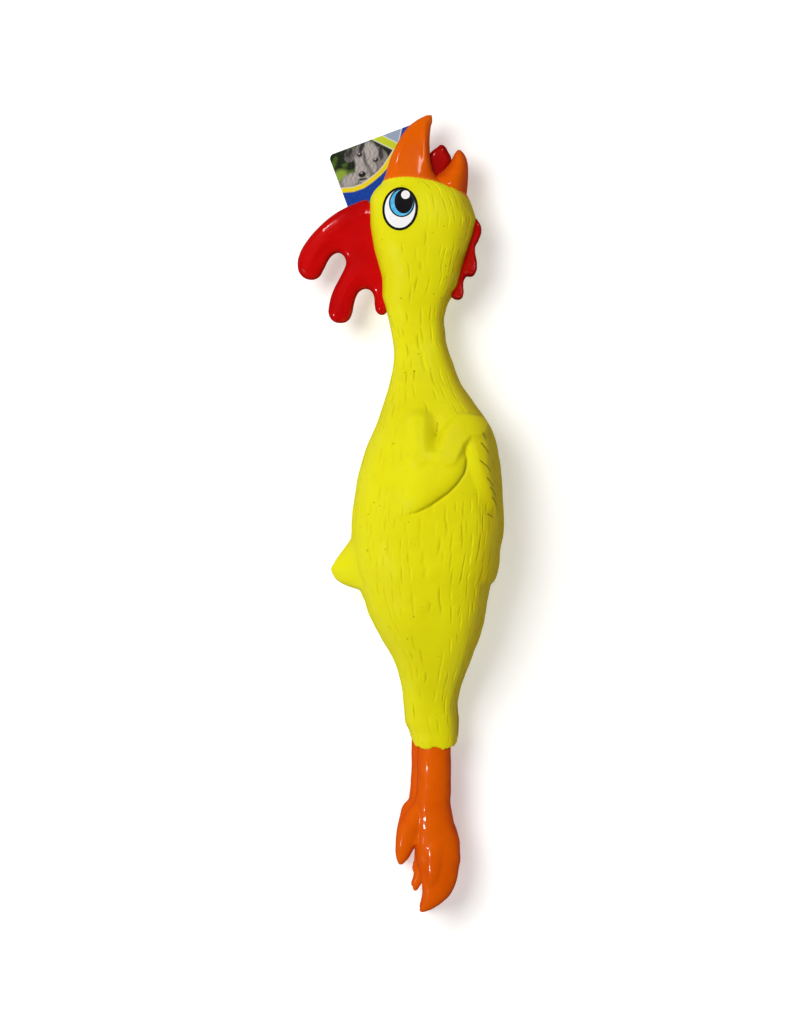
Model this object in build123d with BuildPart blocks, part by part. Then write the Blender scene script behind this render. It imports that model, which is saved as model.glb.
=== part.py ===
from build123d import *
import math
import os

# Rubber chicken, a squeaky latex toy that lies on its left side. Millimetres, +Z up.
# +X points from the back towards the belly, +Y from the feet towards the beak.
# The origin is under the middle of the whole toy, on the surface that it lies on.

# ---- Driving dimensions ----
wall = 1.6  # latex wall
head_z = 26.0  # height of the head's middle plane
torso_z = 38.0  # height of the torso's middle plane
leg_spacing = 19.0  # between the middle planes of the two legs
left_leg_z = 9.2
right_leg_z = left_leg_z + leg_spacing
beyond = 150.0  # further than any point of the toy from its middle
overlap = 1.0  # how far a cutting shape reaches past what it cuts

# Where the moulding bends. Each bend has a soft band between two stiffer stretches.
neck_seam_y = (72.0, 87.0)
head_seam_y = (98.0, 113.0)
hip_seam_y = (-117.0, -97.0)
leg_seam_y = (-147.0, -135.5)
skin_bottom_y = leg_seam_y[1]
skin_top_y = 192.0

# Sections of the yellow skin: y, middle x, middle z, half depth along x, half width along z.
skin_sections = [
    (skin_bottom_y, 20.0, 18.7, 13.5, 17.8),
    (-121.0, 18.5, 20.0, 15.6, 19.0),
    (-107.0, 17.6, 22.5, 16.6, 21.0),
    (-93.0, 18.5, 27.0, 19.4, 24.5),
    (-79.0, 18.2, 31.0, 24.8, 28.0),
    (-65.0, 16.6, 34.0, 30.8, 31.0),
    (-47.0, 15.2, 36.6, 36.6, 33.6),
    (-28.0, 14.8, torso_z, 42.0, 35.4),
    (-10.0, 15.9, torso_z, 43.6, 36.0),
    (13.0, 16.8, torso_z, 42.2, 36.0),
    (36.0, 18.2, 37.0, 37.9, 33.0),
    (55.0, 18.2, 34.4, 30.4, 27.2),
    (72.0, 15.2, 31.0, 21.8, 20.2),
    (87.0, 13.3, 28.4, 16.9, 15.8),
    (100.0, 12.3, 27.0, 15.5, 14.2),
    (112.0, 10.9, 26.2, 16.3, 14.6),
    (125.0, 10.4, head_z, 20.4, 17.8),
    (140.0, 11.8, head_z, 24.2, 21.2),
    (153.0, 12.4, head_z, 27.8, 23.2),
    (166.0, 13.0, head_z, 30.3, 24.0),
    (176.0, 12.4, head_z, 29.4, 23.0),
    (184.0, 11.0, head_z, 26.5, 20.8),
    (skin_top_y, 8.0, head_z, 19.0, 16.5),
]

# Sections of the beak and the tongue, in the same columns.
upper_beak_sections = [
    (skin_top_y, 5.6, head_z, 14.6, 15.2),
    (204.0, 5.9, head_z, 11.7, 12.4),
    (214.0, 8.0, head_z, 9.1, 9.4),
    (222.5, 11.1, head_z, 6.5, 6.4),
    (227.5, 14.8, head_z, 3.5, 3.4),
    (230.0, 17.2, head_z, 1.2, 1.2),
]
lower_beak_sections = [
    (182.0, 32.6, head_z, 5.8, 9.6),
    (192.0, 31.6, head_z, 7.8, 10.4),
    (198.0, 32.7, head_z, 6.4, 9.0),
    (204.0, 34.0, head_z, 4.6, 6.4),
    (209.8, 34.5, head_z, 1.4, 1.8),
]
tongue_sections = [
    (skin_top_y, 21.8, head_z, 1.3, 5.6),
    (198.0, 22.6, head_z, 3.0, 6.6),
    (204.0, 23.3, head_z, 5.0, 6.6),
    (209.0, 23.8, head_z, 4.4, 5.2),
    (212.7, 24.2, head_z, 1.4, 2.2),
]

# ---- Comb ----
comb_thickness = 12.0
comb_rim = 3.0
comb_top = [(-14.0, 178.5), (-19.5, 180.6), (-31.0, 176.6), (-46.8, 165.3), (-57.2, 151.5), (-59.2, 143.3)]
comb_lobe_1 = [(-59.2, 143.3), (-57.6, 137.8), (-52.0, 134.7), (-46.8, 136.4), (-44.0, 140.6)]
comb_arch_1 = [(-44.0, 140.6), (-40.6, 147.2), (-35.8, 150.5), (-31.4, 146.6), (-32.4, 140.8)]
comb_lobe_2 = [(-32.4, 140.8), (-38.7, 128.3), (-41.0, 117.0), (-34.1, 109.8), (-27.7, 115.0), (-25.6, 124.6)]
comb_arch_2 = [(-25.6, 124.6), (-20.5, 129.5), (-15.2, 125.4), (-14.6, 119.2)]
comb_lobe_3 = [(-14.6, 119.2), (-13.5, 115.6), (-10.4, 114.4), (-7.4, 115.8)]
comb_root = [(-7.4, 115.8), (-4.0, 124.0), (-6.0, 150.0), (-4.0, 176.0), (-14.0, 178.5)]

# ---- Wattles ----
wattle_thickness = 5.0
wattle_gap = 2.0  # between the two wattles, across the chin
wattle_front = [(40.0, 172.0), (43.6, 169.0), (46.8, 162.4), (43.4, 152.0), (44.2, 142.0), (41.0, 137.0), (37.0, 136.6)]
wattle_tip = [(37.0, 136.6), (36.9, 127.5), (33.8, 123.4), (29.6, 124.6)]
wattle_root = [(29.6, 124.6), (24.0, 130.0), (28.0, 165.0), (40.0, 172.0)]

# ---- Eyes: thin printed ovals ----
eye_x = 0.3
eye_y = 175.6
eye_half_width = 10.2
eye_half_height = 12.7
eye_lean = -8.0  # degrees, top towards the belly
eye_thickness = 0.35

# ---- Wings and tail ----
wing_relief = 2.6
wing_arm = [(-2.6, 3.0), (-4.4, 28.0), (-1.0, 50.0), (6.0, 57.8), (14.0, 53.0), (22.0, 45.0), (31.0, 51.5), (42.8, 56.0)]
wing_hand = [(42.8, 56.0), (48.6, 45.7), (51.4, 28.0), (54.4, 12.0), (55.6, 1.6), (51.4, -0.4), (43.9, 10.6)]
wing_elbow = [(43.9, 10.6), (36.7, 21.0), (27.0, 8.8), (12.0, -0.6), (0.6, -1.4), (-2.6, 3.0)]
tail_half_thickness = 8.0
tail_edge = [(-24.0, -12.0), (-31.2, -19.1), (-37.6, -28.3), (-39.3, -33.0), (-36.4, -37.9), (-29.5, -41.8), (-16.0, -45.6)]

# ---- Legs and feet ----
leg_half_depth = 9.8
leg_half_width = 8.4
shank_sections_y = (leg_seam_y[0], -166.0, -178.0, -190.0)
shank_x = (19.6, 19.2, 18.2, 20.0)
shank_half_depth = (9.8, 9.9, 11.2, 10.0)
foot_thickness = 15.0
foot_rim = 2.0
foot_front = [(17.0, -170.0), (29.0, -172.0), (32.0, -186.0), (35.1, -198.0), (32.4, -212.7), (28.6, -220.2), (19.7, -226.0)]
foot_toe = [(19.7, -226.0), (12.4, -230.0), (9.5, -227.7), (11.7, -219.4), (6.6, -216.0), (8.0, -206.0), (8.7, -196.4)]
foot_back = [(8.7, -196.4), (10.0, -182.0), (17.0, -170.0)]
hind_toe_thickness = 9.0
hind_toe_outline = [(12.0, -172.0), (2.0, -175.6), (-2.6, -188.0), (-2.0, -199.6), (0.2, -202.9), (5.0, -197.6), (14.0, -194.0)]

# ---- Squeaker, in the underside of the torso ----
squeaker_x = 16.5
squeaker_y = -62.0
squeaker_r = 9.0
squeaker_fit = 0.05  # radial clearance of the cup in its socket
socket_wall = 2.4
socket_top_z = 18.0
cup_bottom_z = 5.4
cup_top_z = 20.0
cup_wall = 1.2
vent_r = 2.6
clamp_hole_r = 1.6
reed_tube_r = 3.6
reed_tube_bottom_z = cup_bottom_z + cup_wall
reed_tube_top_z = 17.6
reed_flat_x = 0.8  # the flat of the reed tube, from its axis
reed_gap = 0.3
reed_thickness = 0.25
reed_width = 3.4
reed_clamp_height = 1.6
cap_thickness = 1.2
cap_hole_r = 0.9
cap_hole_circle_r = 4.4
cap_hole_count = 6  # round the one in the middle

# ---- Hang tag and its fastener ----
tag_width = 55.0
tag_height = 80.0
tag_thickness = 0.5
tag_corner_r = 3.0
tag_tilt = 20.5  # degrees, its top edge rises towards the belly
tag_corner = (-41.8, 209.0)  # its top left corner
tag_bottom_z = 1.1
tag_hole = (41.0, 18.0)  # from the top left corner, along and down
tag_hole_r = 1.6
filament_r = 0.5
t_bar_z = 19.5  # height of the T-bar, inside the beak
paddle_length = 9.0
paddle_width = 3.0
paddle_thickness = 0.8
t_bar_length = 8.0
t_bar_r = 0.7
beak_hole_r = 0.7  # for the filament, in the side of the beak that lies down

# The fastener stands where the tag's hole is.
tag_turn = math.radians(tag_tilt)
pin_x = tag_corner[0] + tag_hole[0] * math.cos(tag_turn) + tag_hole[1] * math.sin(tag_turn)
pin_y = tag_corner[1] + tag_hole[0] * math.sin(tag_turn) - tag_hole[1] * math.cos(tag_turn)


def section_plane(x, y, z):
    """A plane across the toy, facing the beak."""
    return Plane(origin=(x, y, z), x_dir=(1, 0, 0), z_dir=(0, 1, 0))


def lofted(sections, inset=0.0):
    """A smooth solid through elliptical sections, drawn in by inset."""
    with BuildPart() as body:
        for y, x, z, half_depth, half_width in sections:
            with BuildSketch(section_plane(x, y, z)):
                Ellipse(half_depth - inset, half_width - inset)
        loft()
    return body.part


def inner_sections(sections, end_inset_first, end_inset_last):
    """The same sections for a cavity, with its two ends moved in along y."""
    inside = [list(section) for section in sections]
    inside[0][0] += end_inset_first
    inside[-1][0] -= end_inset_last
    return inside


def slab(low_y, high_y):
    """Everything between two planes across the toy."""
    with BuildPart() as block:
        with Locations((0, (low_y + high_y) / 2, 0)):
            Box(2 * beyond, high_y - low_y, 2 * beyond)
    return block.part


def plate(curves, bottom_z, thickness, rim=0.0):
    """A flat plate whose outline is a chain of smooth curves, with its two rims rounded."""
    with BuildPart() as sheet:
        with BuildSketch(Plane.XY.offset(bottom_z)):
            with BuildLine():
                for points in curves:
                    Spline(*points)
            make_face()
        extrude(amount=thickness)
        if rim > 0:
            sheet_faces = sheet.faces().sort_by(Axis.Z)
            fillet(sheet_faces[0].edges() + sheet_faces[-1].edges(), rim)
    return sheet.part


def save(piece, label):
    piece.part.label = label
    export_step(piece.part, f"parts/{label}.step")


os.makedirs("parts", exist_ok=True)

# ---- The yellow moulding: one hollow skin, divided where it bends ----
skin_outer = lofted(skin_sections)
skin_inner = lofted(inner_sections(skin_sections, wall, wall), wall)
skin_raised = lofted(skin_sections, -wing_relief)
skin_printed = lofted(skin_sections, -eye_thickness)


def skin_piece(low_y, high_y):
    with BuildPart() as piece:
        add(skin_outer)
        add(skin_inner, mode=Mode.SUBTRACT)
        add(slab(low_y, high_y), mode=Mode.INTERSECT)
    return piece


with BuildPart() as torso_shell:
    add(skin_outer)
    # Wings in relief on both sides.
    with BuildPart(mode=Mode.PRIVATE) as wings:
        add(plate([wing_arm, wing_hand, wing_elbow], -beyond, 2 * beyond))
        add(skin_raised, mode=Mode.INTERSECT)
    add(wings.part)
    # Tail, a pointed fin on the back.
    tail_line = [tail_edge, [tail_edge[-1], tail_edge[0]]]
    add(plate(tail_line, torso_z - tail_half_thickness, 2 * tail_half_thickness))
    add(skin_inner, mode=Mode.SUBTRACT)
    # Socket for the squeaker.
    with BuildPart(mode=Mode.PRIVATE) as socket:
        with BuildSketch(Plane.XY):
            with Locations((squeaker_x, squeaker_y)):
                Circle(squeaker_r + socket_wall)
        extrude(amount=socket_top_z)
        add(skin_outer, mode=Mode.INTERSECT)
    add(socket.part)
    with BuildSketch(Plane.XY.offset(-overlap)):
        with Locations((squeaker_x, squeaker_y)):
            Circle(squeaker_r)
    extrude(amount=socket_top_z + 2 * overlap, mode=Mode.SUBTRACT)
    add(slab(hip_seam_y[1], neck_seam_y[0]), mode=Mode.INTERSECT)
    # The left wing is pressed flat where the toy lies on it.
    with Locations((0, 0, -beyond)):
        Box(2 * beyond, 2 * beyond, 2 * beyond, mode=Mode.SUBTRACT)
save(torso_shell, "torso_shell")

neck_base_bend = skin_piece(*neck_seam_y)
save(neck_base_bend, "neck_base_bend")
neck_tube = skin_piece(neck_seam_y[1], head_seam_y[0])
save(neck_tube, "neck_tube")
head_bend = skin_piece(*head_seam_y)
save(head_bend, "head_bend")
head_shell = skin_piece(head_seam_y[1], skin_top_y + overlap)
save(head_shell, "head_shell")
hip_bend = skin_piece(*hip_seam_y)
save(hip_bend, "hip_bend")
thigh_shell = skin_piece(skin_bottom_y - overlap, hip_seam_y[0])
save(thigh_shell, "thigh_shell")

# ---- Beak and tongue ----
with BuildPart() as upper_beak:
    add(lofted(upper_beak_sections))
    add(lofted(inner_sections(upper_beak_sections[:4], 0.0, wall), wall), mode=Mode.SUBTRACT)
    with BuildSketch(Plane.XY):
        with Locations((pin_x, pin_y)):
            Circle(beak_hole_r)
    extrude(amount=head_z, mode=Mode.SUBTRACT)
save(upper_beak, "upper_beak")

with BuildPart() as lower_beak:
    add(lofted(lower_beak_sections))
    add(skin_outer, mode=Mode.SUBTRACT)
save(lower_beak, "lower_beak")

with BuildPart() as tongue:
    add(lofted(tongue_sections))
save(tongue, "tongue")

# ---- Comb and wattles, joined to the head along its outer face ----
with BuildPart() as comb:
    comb_outline = [comb_top, comb_lobe_1, comb_arch_1, comb_lobe_2, comb_arch_2, comb_lobe_3, comb_root]
    add(plate(comb_outline, head_z - comb_thickness / 2, comb_thickness, comb_rim))
    add(skin_outer, mode=Mode.SUBTRACT)
save(comb, "comb")

wattle_outline = [wattle_front, wattle_tip, wattle_root]
for label, wattle_z in (
    ("wattle_right", head_z + wattle_gap / 2),
    ("wattle_left", head_z - wattle_gap / 2 - wattle_thickness),
):
    with BuildPart() as wattle:
        add(plate(wattle_outline, wattle_z, wattle_thickness))
        add(skin_outer, mode=Mode.SUBTRACT)
    save(wattle, label)

# ---- Eyes ----
for label, direction in (("eye_right", 1), ("eye_left", -1)):
    with BuildPart() as eye:
        with BuildSketch(Plane.XY.offset(head_z)):
            with Locations(Location((eye_x, eye_y), eye_lean)):
                Ellipse(eye_half_width, eye_half_height)
        extrude(amount=direction * beyond)
        add(skin_printed, mode=Mode.INTERSECT)
        add(skin_outer, mode=Mode.SUBTRACT)
    save(eye, label)

# ---- Legs: a soft band under the yellow rim, then the shank and the foot in one ----
for side, leg_z in (("right", right_leg_z), ("left", left_leg_z)):
    with BuildPart() as leg_bend:
        with BuildSketch(section_plane(shank_x[0], leg_seam_y[0], leg_z)):
            Ellipse(leg_half_depth, leg_half_width)
        extrude(amount=leg_seam_y[1] - leg_seam_y[0])
    save(leg_bend, f"leg_{side}_bend")

    with BuildPart() as leg:
        for y, x, half_depth in zip(shank_sections_y, shank_x, shank_half_depth):
            with BuildSketch(section_plane(x, y, leg_z)):
                Ellipse(half_depth, leg_half_width)
        loft()
        foot_outline = [foot_front, foot_toe, foot_back]
        add(plate(foot_outline, leg_z - foot_thickness / 2, foot_thickness, foot_rim))
        hind_outline = [hind_toe_outline, [hind_toe_outline[-1], hind_toe_outline[0]]]
        add(plate(hind_outline, leg_z - hind_toe_thickness / 2, hind_toe_thickness))
    save(leg, f"leg_{side}")

# ---- Squeaker: a cup with a reed tube inside and a cap over it ----
squeaker_plane = Plane(origin=(squeaker_x, squeaker_y, 0))

with BuildPart() as squeaker_cup:
    with BuildSketch(squeaker_plane.offset(cup_bottom_z)):
        Circle(squeaker_r - squeaker_fit)
    extrude(amount=cup_top_z - cup_bottom_z)
    with BuildSketch(squeaker_plane.offset(cup_bottom_z + cup_wall)):
        Circle(squeaker_r - squeaker_fit - cup_wall)
    extrude(amount=cup_top_z - cup_bottom_z, mode=Mode.SUBTRACT)
    with BuildSketch(squeaker_plane.offset(cup_bottom_z)):
        Circle(vent_r)
    extrude(amount=cup_wall, mode=Mode.SUBTRACT)
save(squeaker_cup, "squeaker_cup")

with BuildPart() as reed_tube:
    # A tube cut down to a flat that the reed beats against.
    with BuildSketch(squeaker_plane.offset(reed_tube_bottom_z)):
        Circle(reed_tube_r)
        Circle(vent_r, mode=Mode.SUBTRACT)
    extrude(amount=reed_tube_top_z - reed_tube_bottom_z)
    with BuildSketch(squeaker_plane.offset(reed_tube_bottom_z)):
        with Locations((reed_flat_x + reed_tube_r, 0)):
            Rectangle(2 * reed_tube_r, 4 * reed_tube_r)
    extrude(amount=reed_tube_top_z, mode=Mode.SUBTRACT)
    # Clamp that holds the reed's lower end.
    with BuildSketch(squeaker_plane.offset(reed_tube_bottom_z)):
        with Locations((reed_flat_x / 2, 0)):
            Rectangle(reed_flat_x + 2 * reed_gap, 2 * vent_r)
    extrude(amount=reed_clamp_height)
    with BuildSketch(squeaker_plane.offset(reed_tube_bottom_z - overlap)):
        Circle(clamp_hole_r)
    extrude(amount=reed_clamp_height + 2 * overlap, mode=Mode.SUBTRACT)
save(reed_tube, "reed_tube")

with BuildPart() as reed:
    reed_x = reed_flat_x + reed_gap + reed_thickness / 2
    reed_bottom_z = reed_tube_bottom_z + reed_clamp_height + reed_gap
    with BuildSketch(squeaker_plane.offset(reed_bottom_z)):
        with Locations((reed_x, 0)):
            Rectangle(reed_thickness, reed_width)
    extrude(amount=reed_tube_top_z - reed_bottom_z)
save(reed, "reed")

with BuildPart() as squeaker_cap:
    with BuildSketch(squeaker_plane.offset(cup_top_z)):
        Circle(squeaker_r - squeaker_fit)
        with PolarLocations(cap_hole_circle_r, cap_hole_count):
            Circle(cap_hole_r, mode=Mode.SUBTRACT)
        Circle(cap_hole_r, mode=Mode.SUBTRACT)
    extrude(amount=cap_thickness)
save(squeaker_cap, "squeaker_cap")

# ---- Hang tag and the plastic fastener that holds it to the beak ----
tag_plane = Plane(
    origin=(tag_corner[0], tag_corner[1], tag_bottom_z),
    x_dir=(math.cos(tag_turn), math.sin(tag_turn), 0),
    z_dir=(0, 0, 1),
)
with BuildPart() as hang_tag:
    with BuildSketch(tag_plane):
        with Locations((tag_width / 2, -tag_height / 2)):
            RectangleRounded(tag_width, tag_height, tag_corner_r)
        with Locations((tag_hole[0], -tag_hole[1])):
            Circle(tag_hole_r, mode=Mode.SUBTRACT)
    extrude(amount=tag_thickness)
save(hang_tag, "hang_tag")

with BuildPart() as tag_pin:
    with BuildSketch(Plane.XY):
        with Locations((pin_x, pin_y)):
            SlotOverall(paddle_length, paddle_width)
    extrude(amount=paddle_thickness)
    with BuildSketch(Plane.XY):
        with Locations((pin_x, pin_y)):
            Circle(filament_r)
    extrude(amount=t_bar_z)
    with BuildSketch(section_plane(pin_x, pin_y - t_bar_length / 2, t_bar_z)):
        Circle(t_bar_r)
    extrude(amount=t_bar_length)
save(tag_pin, "tag_pin")
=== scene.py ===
import math

import bpy
import numpy as np
from mathutils import Matrix, Vector


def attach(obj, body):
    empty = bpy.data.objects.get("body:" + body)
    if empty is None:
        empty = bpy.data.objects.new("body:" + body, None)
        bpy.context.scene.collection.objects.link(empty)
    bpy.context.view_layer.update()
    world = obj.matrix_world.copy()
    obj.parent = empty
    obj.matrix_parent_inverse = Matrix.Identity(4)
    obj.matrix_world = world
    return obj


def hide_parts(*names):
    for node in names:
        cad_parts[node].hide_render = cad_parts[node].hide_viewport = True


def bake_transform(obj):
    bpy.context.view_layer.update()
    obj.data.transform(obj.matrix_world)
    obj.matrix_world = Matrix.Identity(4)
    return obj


# The looks of a rubber chicken that lies on its left side.
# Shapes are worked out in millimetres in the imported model's frame, and turned into metres in make_mesh.
# +X is towards the belly, +Y towards the beak, +Z up to the right side.

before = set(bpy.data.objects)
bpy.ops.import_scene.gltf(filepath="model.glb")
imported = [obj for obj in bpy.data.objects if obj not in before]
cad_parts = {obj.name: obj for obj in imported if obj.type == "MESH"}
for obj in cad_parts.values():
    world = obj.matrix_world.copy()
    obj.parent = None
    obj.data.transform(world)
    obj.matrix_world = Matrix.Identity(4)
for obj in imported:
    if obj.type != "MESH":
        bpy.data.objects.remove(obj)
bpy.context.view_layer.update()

MM = 0.001
random = np.random.default_rng(11)

# ---------------------------------------------------------------- camera, lights and floor

CAMERA_LENS = 130.0
SENSOR = 36.0
VIEW_HEIGHT_MM = 592.0  # what the picture's height covers at the height of the chicken's outline
OUTLINE_HEIGHT_MM = 26.0
VIEW_MIDDLE_MM = 0.6  # along y


def add_object(name, data):
    made = bpy.data.objects.new(name, data)
    bpy.context.scene.collection.objects.link(made)
    return made


def make_camera():
    data = bpy.data.cameras.new("camera")
    data.lens = CAMERA_LENS
    data.sensor_width = SENSOR
    data.clip_end = 20.0
    camera = add_object("camera", data)
    distance = VIEW_HEIGHT_MM * CAMERA_LENS / SENSOR + OUTLINE_HEIGHT_MM
    camera.location = (0.0, VIEW_MIDDLE_MM * MM, distance * MM)
    bpy.context.scene.camera = camera


def area_light(name, place, aim, size, power, colour=(1.0, 1.0, 1.0), highlight=False):
    """A softbox. It lights the colours and stays out of reflections; a highlight shows only in gloss."""
    data = bpy.data.lights.new(name, "AREA")
    data.shape = "RECTANGLE"
    data.size, data.size_y = size
    data.energy = power
    data.color = colour
    light = add_object(name, data)
    light.location = place
    light.rotation_euler = (Vector(aim) - Vector(place)).to_track_quat("-Z", "Y").to_euler()
    light.visible_glossy = highlight
    light.visible_diffuse = not highlight


def make_lights():
    chest = (0.0, 0.0, 0.03)
    beak = (0.012, 0.214, 0.036)
    area_light("key", (-1.0, 0.62, 2.25), chest, (1.2, 1.2), 51.0, (1.0, 0.995, 0.98))
    area_light("foot_fill", (-0.4, -1.8, 1.8), chest, (1.2, 0.8), 9.5)
    area_light("warm_fill", (1.9, 0.5, 1.2), chest, (0.8, 0.8), 4.0, (1.0, 0.75, 0.45))
    area_light("head_glint", (-0.75, 1.05, 1.1), chest, (0.1, 0.1), 2.7, highlight=True)
    area_light("beak_glint", (0.12, 0.45, 0.57), beak, (0.09, 0.24), 1.3, highlight=True)
    area_light("foot_glint", (-1.0, -0.36, 0.95), chest, (0.12, 0.06), 6.5, highlight=True)
    world = bpy.data.worlds.new("studio")
    world.use_nodes = True
    sky = world.node_tree.nodes["Background"].inputs
    sky["Color"].default_value = (1.0, 1.0, 1.0, 1.0)
    sky["Strength"].default_value = 0.13
    world.cycles_visibility.glossy = False
    bpy.context.scene.world = world
    bpy.context.scene.view_settings.view_transform = "Standard"


def make_floor():
    side = 3.0
    drop = -0.0003
    mesh = bpy.data.meshes.new("floor")
    corners = [(-side, -side, drop), (side, -side, drop), (side, side, drop), (-side, side, drop)]
    mesh.from_pydata(corners, [], [(0, 1, 2, 3)])
    mesh.materials.append(floor_material())
    floor = add_object("floor", mesh)
    floor.visible_glossy = False


# ---------------------------------------------------------------- materials


class Look:
    """A procedural material being made: its shader, and short ways to add nodes and join them.

    Sockets are given by their names, with underscores for the spaces.
    """

    def __init__(self, name, colour, roughness, stored_place=True, **sockets):
        self.material = bpy.data.materials.new(name)
        self.material.use_nodes = True
        self.shader = self.material.node_tree.nodes["Principled BSDF"]
        self.surface(Base_Color=colour, Roughness=roughness, **sockets)
        # Where a point lies at rest, in metres.
        if stored_place:
            self.place = self.stored("rest_place", "Vector")
        else:
            self.place = self.node("ShaderNodeTexCoord").outputs["Object"]

    def node(self, kind, **settings):
        node = self.material.node_tree.nodes.new(kind)
        for name, value in settings.items():
            setattr(node, name, value)
        return node

    def fill(self, socket, value):
        """Sets a socket to a number or a colour, or joins another node's socket to it."""
        if isinstance(value, bpy.types.NodeSocket):
            self.material.node_tree.links.new(value, socket)
        else:
            socket.default_value = (*value, 1.0) if socket.type == "RGBA" else value

    def fill_all(self, node, **values):
        for name, value in values.items():
            self.fill(node.inputs[name.replace("_", " ")], value)

    def surface(self, **values):
        self.fill_all(self.shader, **values)

    def stored(self, label, output="Fac"):
        """What the piece stores for each of its points under that label."""
        return self.node("ShaderNodeAttribute", attribute_name=label).outputs[output]

    def noise(self, scale, detail=3.0):
        node = self.node("ShaderNodeTexNoise")
        self.fill_all(node, Vector=self.place, Scale=scale, Detail=detail, Roughness=0.55)
        return node.outputs["Fac"]

    def ramp(self, factor, low, high, out_low=0.0, out_high=1.0):
        """The factor's stretch from low to high, mapped smoothly to out_low and out_high."""
        node = self.node("ShaderNodeMapRange", interpolation_type="SMOOTHSTEP")
        self.fill_all(node, Value=factor, From_Min=low, From_Max=high, To_Min=out_low, To_Max=out_high)
        return node.outputs["Result"]

    def mix(self, factor, first, second):
        """A mix of two colours; each is a colour or a socket."""
        node = self.node("ShaderNodeMix", data_type="RGBA")
        colours = [socket for socket in node.inputs if socket.type == "RGBA"]
        for socket, value in zip([node.inputs["Factor"], *colours], (factor, first, second)):
            self.fill(socket, value)
        return [socket for socket in node.outputs if socket.type == "RGBA"][0]

    def maths(self, operation, first, second):
        node = self.node("ShaderNodeMath", operation=operation)
        self.fill(node.inputs[0], first)
        self.fill(node.inputs[1], second)
        return node.outputs["Value"]

    def bump(self, height, strength, distance):
        node = self.node("ShaderNodeBump")
        self.fill_all(node, Height=height, Strength=strength, Distance=distance)
        self.surface(Normal=node.outputs["Normal"])


def floor_material():
    look = Look("floor_paper", (0.77, 0.77, 0.77), 0.9, stored_place=False, Specular_IOR_Level=0.0,
                Emission_Color=(1.0, 1.0, 1.0), Emission_Strength=0.4)
    look.surface(Base_Color=look.mix(look.noise(900.0), (0.76, 0.76, 0.76), (0.78, 0.78, 0.78)))
    return look.material


ORANGE = (0.83, 0.136, 0.0008)
ORANGE_DEEP = (0.77, 0.112, 0.0008)
# The paints' edge colours are painted shade on their sides.
ORANGE_EDGE_SHADE = (0.60, 0.062, 0.0005)


def yellow_latex():
    look = Look("yellow_latex", (0.82, 0.74, 0.006), 0.42, Specular_IOR_Level=0.1, Subsurface_Weight=0.12,
                Subsurface_Radius=(1.0, 0.55, 0.05), Subsurface_Scale=0.004)
    patches = look.ramp(look.noise(60.0), 0.3, 0.7, 0.5, 1.0)
    thigh_edge_brown = look.maths("MULTIPLY", look.stored("thigh_edge_brown"), patches)
    colour = (0.80, 0.765, 0.005)
    for share, tint in (
        (look.ramp(look.noise(28.0), 0.3, 0.7), (0.77, 0.715, 0.004)),
        (look.ramp(look.noise(420.0, 1.0), 0.74, 0.80, 0.0, 0.35), (0.45, 0.36, 0.01)),
        # Painted shade: darker and browner towards the belly side, which faces away from the light.
        (look.ramp(look.stored("belly"), 0.0, 1.0, 0.0, 0.8), (0.54, 0.40, 0.001)),
        # Painted shade: darker in the fine grooves, pits, crack and wing creases, and in the hollow by the
        # shoulder.
        (look.ramp(look.stored("painted_groove_shade"), 0.05, 1.0, 0.0, 0.85), (0.20, 0.15, 0.001)),
        # Browner in patches towards the thighs' belly-side edge.
        (look.ramp(thigh_edge_brown, 0.1, 0.9, 0.0, 0.75), (0.33, 0.13, 0.002)),
        (look.ramp(look.stored("spray"), -0.5, 0.5), ORANGE),
    ):
        colour = look.mix(share, colour, tint)
    look.surface(Base_Color=colour, Roughness=look.ramp(look.noise(90.0), 0.3, 0.7, 0.38, 0.5))
    grain = look.maths("MULTIPLY", look.noise(1500.0, 4.0), 0.25)
    look.bump(look.maths("ADD", grain, look.noise(160.0, 2.0)), strength=0.35, distance=0.0006)
    return look.material


def gloss_paint(name, colour, deep, edge, roughness):
    """Glossy sprayed paint on rubber, a little uneven in colour and surface, with painted shade that darkens
    its sides.
    """
    look = Look(name, colour, roughness, Specular_IOR_Level=0.03, Coat_Weight=0.35, Coat_Roughness=0.1,
                Subsurface_Weight=0.03, Subsurface_Radius=(1.0, 0.3, 0.1), Subsurface_Scale=0.003)
    body = look.mix(look.ramp(look.noise(45.0), 0.35, 0.7), colour, deep)
    smear = look.ramp(look.noise(130.0), 0.3, 0.7, roughness * 0.85, roughness * 1.3)
    # Painted shade: the edge colour darkens the sides that turn away from above or below, most towards +X.
    look.surface(Base_Color=look.mix(look.stored("edge"), body, edge), Roughness=smear)
    grain = look.maths("MULTIPLY", look.noise(1200.0), 0.12)
    look.bump(look.maths("ADD", look.noise(150.0, 2.0), grain), strength=0.3, distance=0.0007)
    return look.material


def moulded_plastic(name, colour, roughness):
    look = Look(name, colour, roughness, stored_place=False)
    swirl = look.noise(160.0)
    darker = tuple(0.86 * part for part in colour)
    look.surface(Base_Color=look.mix(swirl, darker, colour),
                 Roughness=look.ramp(swirl, 0.3, 0.7, roughness * 0.8, roughness * 1.25))
    look.bump(look.noise(1400.0, 2.0), strength=0.15, distance=0.0002)
    return look.material


def brushed_brass():
    look = Look("reed_brass", (0.70, 0.50, 0.20), 0.3, stored_place=False, Metallic=1.0)
    streak = look.noise(2200.0)
    look.surface(Base_Color=look.mix(streak, (0.62, 0.43, 0.16), (0.74, 0.54, 0.24)),
                 Roughness=look.ramp(streak, 0.3, 0.7, 0.25, 0.42))
    look.bump(streak, strength=0.15, distance=0.0001)
    return look.material


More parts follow.
